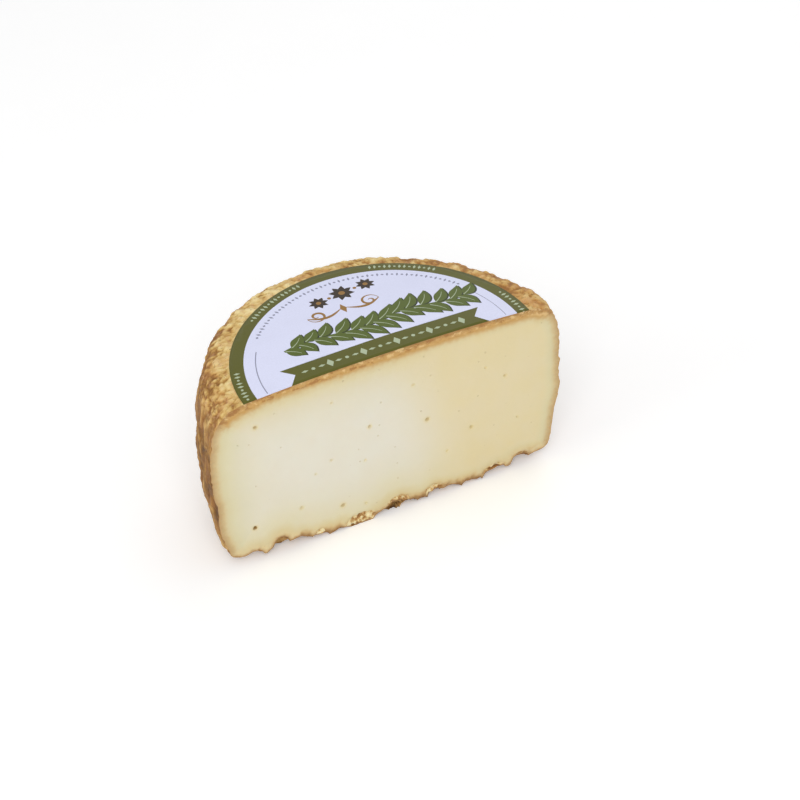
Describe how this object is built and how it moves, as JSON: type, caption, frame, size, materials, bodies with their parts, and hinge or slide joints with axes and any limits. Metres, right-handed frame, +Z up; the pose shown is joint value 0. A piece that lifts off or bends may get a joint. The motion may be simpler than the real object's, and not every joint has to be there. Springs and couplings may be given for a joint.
{
  "type": "goat and sheep tomme half wheel",
  "caption": "Half of a round pressed cheese, cut through its middle, with a knobby tan rind, pale paste with small eyes, and a round paper label on its domed top.",
  "frame": {"origin": "on the axis of the whole wheel, at the level on which the cheese stands", "axes": "+X along the cut, +Y from the cut into the cheese, +Z up through the label"},
  "size_m": [0.1869, 0.0952, 0.0997],
  "materials": {
    "cheese": "matte",
    "label": "satin"
  },
  "bodies": {
    "root": {"cheese": "cheese", "label": "label"}
  },
  "joints": []
}
